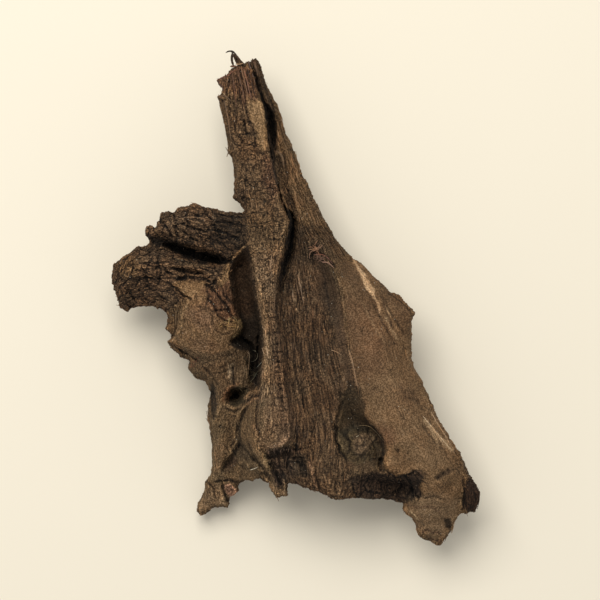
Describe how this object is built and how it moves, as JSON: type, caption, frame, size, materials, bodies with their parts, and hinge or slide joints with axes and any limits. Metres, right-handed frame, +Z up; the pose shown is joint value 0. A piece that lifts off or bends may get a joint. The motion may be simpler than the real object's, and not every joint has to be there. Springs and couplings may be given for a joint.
{
  "type": "driftwood",
  "caption": "Weathered driftwood stump fragment lying on its back: tapering spire, raised strap over a deep crevice, stubby arms and root feet.",
  "frame": {"origin": "middle of the bounding box's underside, on the surface that the wood lies on", "axes": "+Z up from the surface towards the viewer of the picture, +Y along the wood towards the spire's torn tip, +X to the right seen from above"},
  "size_m": [0.1851, 0.2487, 0.0598],
  "materials": {
    "weathered_wood": "matte, dark grey-brown to reddish-brown weathered wood with open grain, cross checks and pits"
  },
  "bodies": {
    "root": {"driftwood": "weathered_wood"}
  },
  "joints": []
}
